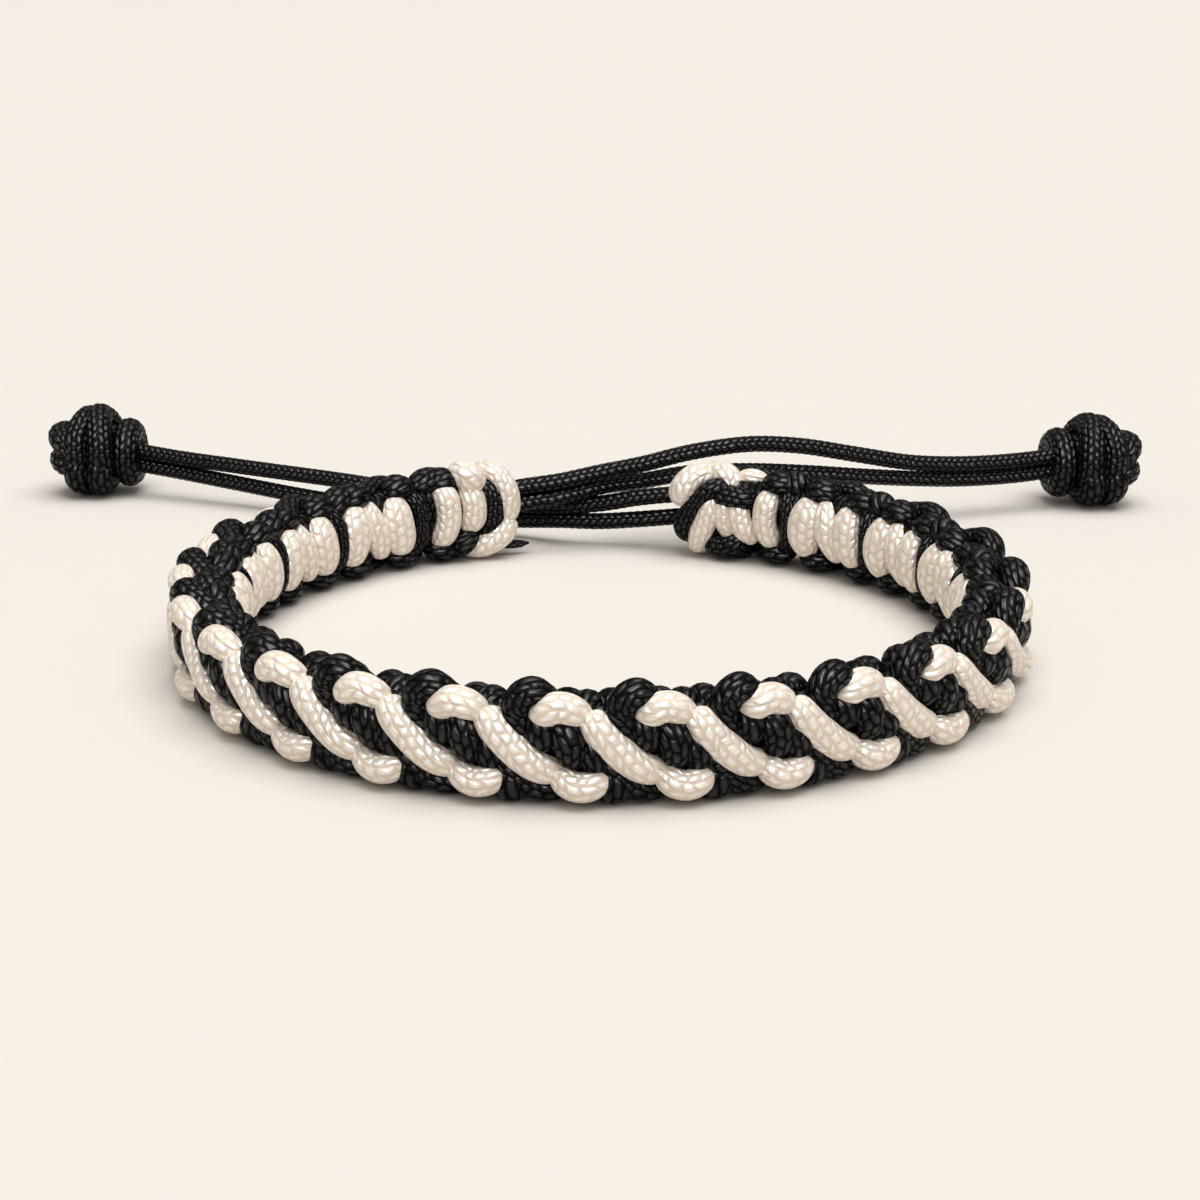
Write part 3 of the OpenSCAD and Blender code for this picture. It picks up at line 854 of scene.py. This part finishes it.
# %% Turns of a button knot, in mm from its middle
# Each row is the cord's half thickness and the points of one turn
KNOT_TURNS = [
    # Two turns over the top
    (1.28, [(1.5, 2.8, -1.3), (1.6, 3.3, -0.2), (1.6, 3.15, 1.4), (1.3, 2.2, 2.75),
            (0.95, 0.7, 3.4), (0.9, -0.9, 3.3), (1.25, -2.3, 2.5), (1.55, -3.1, 1.2),
            (1.6, -3.3, -0.2), (1.5, -2.8, -1.4)]),
    (1.34, [(-0.9, 2.9, -1.5), (-0.95, 3.5, -0.3), (-0.9, 3.3, 1.4), (-0.65, 2.3, 2.85),
            (-0.3, 0.7, 3.55), (-0.25, -0.9, 3.45), (-0.6, -2.3, 2.65), (-0.9, -3.3, 1.2),
            (-0.95, -3.5, -0.3), (-0.9, -2.9, -1.5)]),
    # Two turns below
    (1.36, [(1.55, 2.9, -1.0), (1.75, 3.3, -1.7), (1.7, 3.0, -2.6), (1.55, 1.8, -3.2),
            (1.5, 0.2, -3.38), (1.5, -1.5, -3.2), (1.6, -2.7, -2.4), (1.6, -3.2, -1.4),
            (1.5, -2.6, -0.8)]),
    (1.36, [(-0.7, 3.1, -1.0), (-0.65, 3.5, -1.8), (-0.6, 3.1, -2.7), (-0.5, 1.8, -3.25),
            (-0.5, 0.2, -3.38), (-0.55, -1.5, -3.25), (-0.6, -2.8, -2.5), (-0.7, -3.4, -1.5),
            (-0.8, -2.8, -0.8)]),
    # Two small turns at the far end
    (1.22, [(2.6, 2.6, 0.7), (3.3, 2.2, 1.2), (3.85, 1.1, 1.6), (4.0, -0.2, 1.65), (3.7, -1.5, 1.5),
            (3.0, -2.4, 1.1), (2.4, -2.7, 0.6)]),
    (1.24, [(2.5, 2.6, -1.3), (3.2, 2.3, -1.1), (3.8, 1.2, -0.95), (3.95, -0.1, -0.95),
            (3.7, -1.4, -1.0), (3.0, -2.4, -1.2), (2.4, -2.7, -1.4)]),
]
# The collar goes once round the tie cords, and both its ends are tucked in below them
COLLAR_OUT, COLLAR_WIDE, COLLAR_HIGH, COLLAR_Z = -3.4, 2.45, 2.28, -0.35
COLLAR = [(-2.9, 0.8, -1.4)]
for degrees in range(150, 511, 30):
    a = math.radians(degrees)
    COLLAR.append((COLLAR_OUT, COLLAR_WIDE * math.sin(a), COLLAR_Z + COLLAR_HIGH * math.cos(a)))
COLLAR.append((-2.9, 0.4, -1.2))
KNOT_TURNS.append((1.38, COLLAR))
print("a knot has", len(KNOT_TURNS), "turns")


# %% Core of a knot
BALL_RADIUS = 3.1
BALL_STRETCH = (1.15, 1.0, 0.98)


def knot_core():
    """The dark ball inside a knot, as an object, from a sphere that is stretched."""
    bpy.ops.object.select_all(action="DESELECT")
    bpy.ops.mesh.primitive_uv_sphere_add(
        segments=24, ring_count=14, radius=BALL_RADIUS * MM, location=(0.0, 0.0, 0.0)
    )
    ball = bpy.context.object
    ball.name = "knot_core"
    bpy.ops.object.mode_set(mode="EDIT")
    bpy.ops.mesh.select_all(action="SELECT")
    bpy.ops.transform.resize(value=BALL_STRETCH, center_override=(0.0, 0.0, 0.0))
    bpy.ops.object.mode_set(mode="OBJECT")
    return ball


# %% Tie the knots
ball_points, ball_faces, ball_uv = as_strand(knot_core(), BALL_RADIUS)
# Each pad takes four rings of the mesh
KNOT_STEP, KNOT_SIDES, KNOT_RISE = PAD_LENGTH / 4, 48, 0.08
# A turn is pressed a little flat, and its seam is kept away from the ends of the knot
KNOT_FLAT = 1.04
SEAM_SHIFT = 0.4


def tie_knot(name, replaced, middle, turned, lean):
    """A button knot at middle, in mm, whose far end points the way turned, in degrees.

    lean moves a turn's near side out along the knot by this share of its depth.
    """
    middle = np.array(middle)
    a = math.radians(turned)
    outward = np.array([math.cos(a), math.sin(a), 0.0])
    nearer = np.array([outward[1], -outward[0], 0.0])
    nearer *= -math.copysign(1.0, nearer[1])
    axes = np.array([outward, nearer, (0.0, 0.0, 1.0)])
    # Axes that mirror the ball turn its faces inside out, so they are turned back
    mirrored = np.linalg.det(axes) < 0
    faces = [face[::-1] for face in ball_faces] if mirrored else ball_faces
    strands = [(middle + ball_points @ axes, faces, ball_uv)]
    for radius, turns in KNOT_TURNS:
        local = np.array(turns, float)
        local[:, 0] += lean * local[:, 1]
        line = smooth_line(middle + local @ axes, KNOT_STEP)
        out = line - middle
        out -= np.outer(out @ outward, outward) * SEAM_SHIFT
        out /= np.linalg.norm(out, axis=1)[:, None]
        first = chance.uniform(0, RUN_START)
        strand = sweep(
            line, out, radius * KNOT_FLAT, radius, KNOT_SIDES, first,
            rise=KNOT_RISE, columns=PADS_ROUND, pad=PAD_LENGTH,
        )
        strands.append(strand)
    piece = make_piece(name, strands, black_cord)
    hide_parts(replaced)
    return piece


knots = {
    "left": tie_knot("left_button_knot", "left_knot", (-54.4, 55.2, 4.79), 180.0, 0.0),
    "right": tie_knot("right_button_knot", "right_knot", (52.05, 50.4, 4.79), 2.0, 0.08),
}

# %% [markdown]

# %% [markdown]
# The floor is a wide sheet of pale paper. It is rough and reflects hardly anything, so it
# stays even when the camera looks across it.

# %% Floor
FLOOR_SIZE = 30.0
PAPER = (0.747, 0.714, 0.672, 1.0)
bpy.ops.object.select_all(action="DESELECT")
bpy.ops.mesh.primitive_plane_add(size=FLOOR_SIZE, location=(0.0, 0.0, 0.0))
floor = bpy.context.object
floor.name = "floor"
paper = bpy.data.materials.new("pale paper")
paper.use_nodes = True
paper_shader = paper.node_tree.nodes["Principled BSDF"]
paper_shader.inputs["Base Color"].default_value = PAPER
paper_shader.inputs["Roughness"].default_value = 0.8
paper_shader.inputs["Specular IOR Level"].default_value = 0.1
floor.data.materials.append(paper)
print("floor made,", FLOOR_SIZE, "m wide")

# %% [markdown]
# The light is soft, as in the photograph. The room is brightest overhead and dim at its
# sides, but where the camera sees it behind the floor it stands as pale as the floor.

# %% Room
ROOM_COLOUR = (1.0, 0.955, 0.89, 1.0)
ROOM_OVERHEAD, ROOM_SIDES, ROOM_SEEN = 0.56, 0.08, 0.93
world = bpy.data.worlds.new("pale room")
bpy.context.scene.world = world
world.use_nodes = True
room = world.node_tree
backdrop = room.nodes["Background"]
backdrop.inputs["Color"].default_value = ROOM_COLOUR
direction = node(room, "ShaderNodeTexCoord")
split = node(room, "ShaderNodeSeparateXYZ")
room.links.new(direction.outputs["Generated"], split.inputs[0])
height = maths(room, "MAXIMUM", split.outputs[2], 0.0)
strength = maths(room, "MULTIPLY_ADD", height, ROOM_OVERHEAD, ROOM_SIDES)
seen = node(room, "ShaderNodeLightPath")
pale = maths(room, "MULTIPLY", seen.outputs["Is Camera Ray"], ROOM_SEEN)
strength = maths(room, "MAXIMUM", strength, pale)
room.links.new(strength, backdrop.inputs["Strength"])
print("room made with", len(room.nodes), "nodes")

# %% [markdown]
# Three wide lights do the rest. One hangs overhead and makes the soft shadow under the band.
# A weak one in front lights the side that faces the camera. The third, also in front, makes
# only glints on the satin cord, as a large light in a studio does, and lights nothing else.

# %% Lights
LIGHT_COLOUR = (1.0, 0.99, 0.97)
# Name, strength, width in degrees, tilt about X and Y in degrees, and whether it lights all
LIGHTS = [
    ("soft overhead light", 2.3, 56, (3, 8), True),
    ("soft front light", 0.36, 60, (52, 4), True),
    ("front light for the sheen", 6.1, 60, (42, 4), False),
]
for name, power, width, (tilt_x, tilt_y), lights_all in LIGHTS:
    lamp = bpy.data.lights.new(name, "SUN")
    lamp.energy = power
    lamp.angle = math.radians(width)
    lamp.color = LIGHT_COLOUR
    hung = bpy.data.objects.new(name, lamp)
    hung.rotation_euler = (math.radians(tilt_x), math.radians(tilt_y), 0.0)
    hung.visible_diffuse = lights_all
    bpy.context.scene.collection.objects.link(hung)
print("lights hung:", len(LIGHTS))
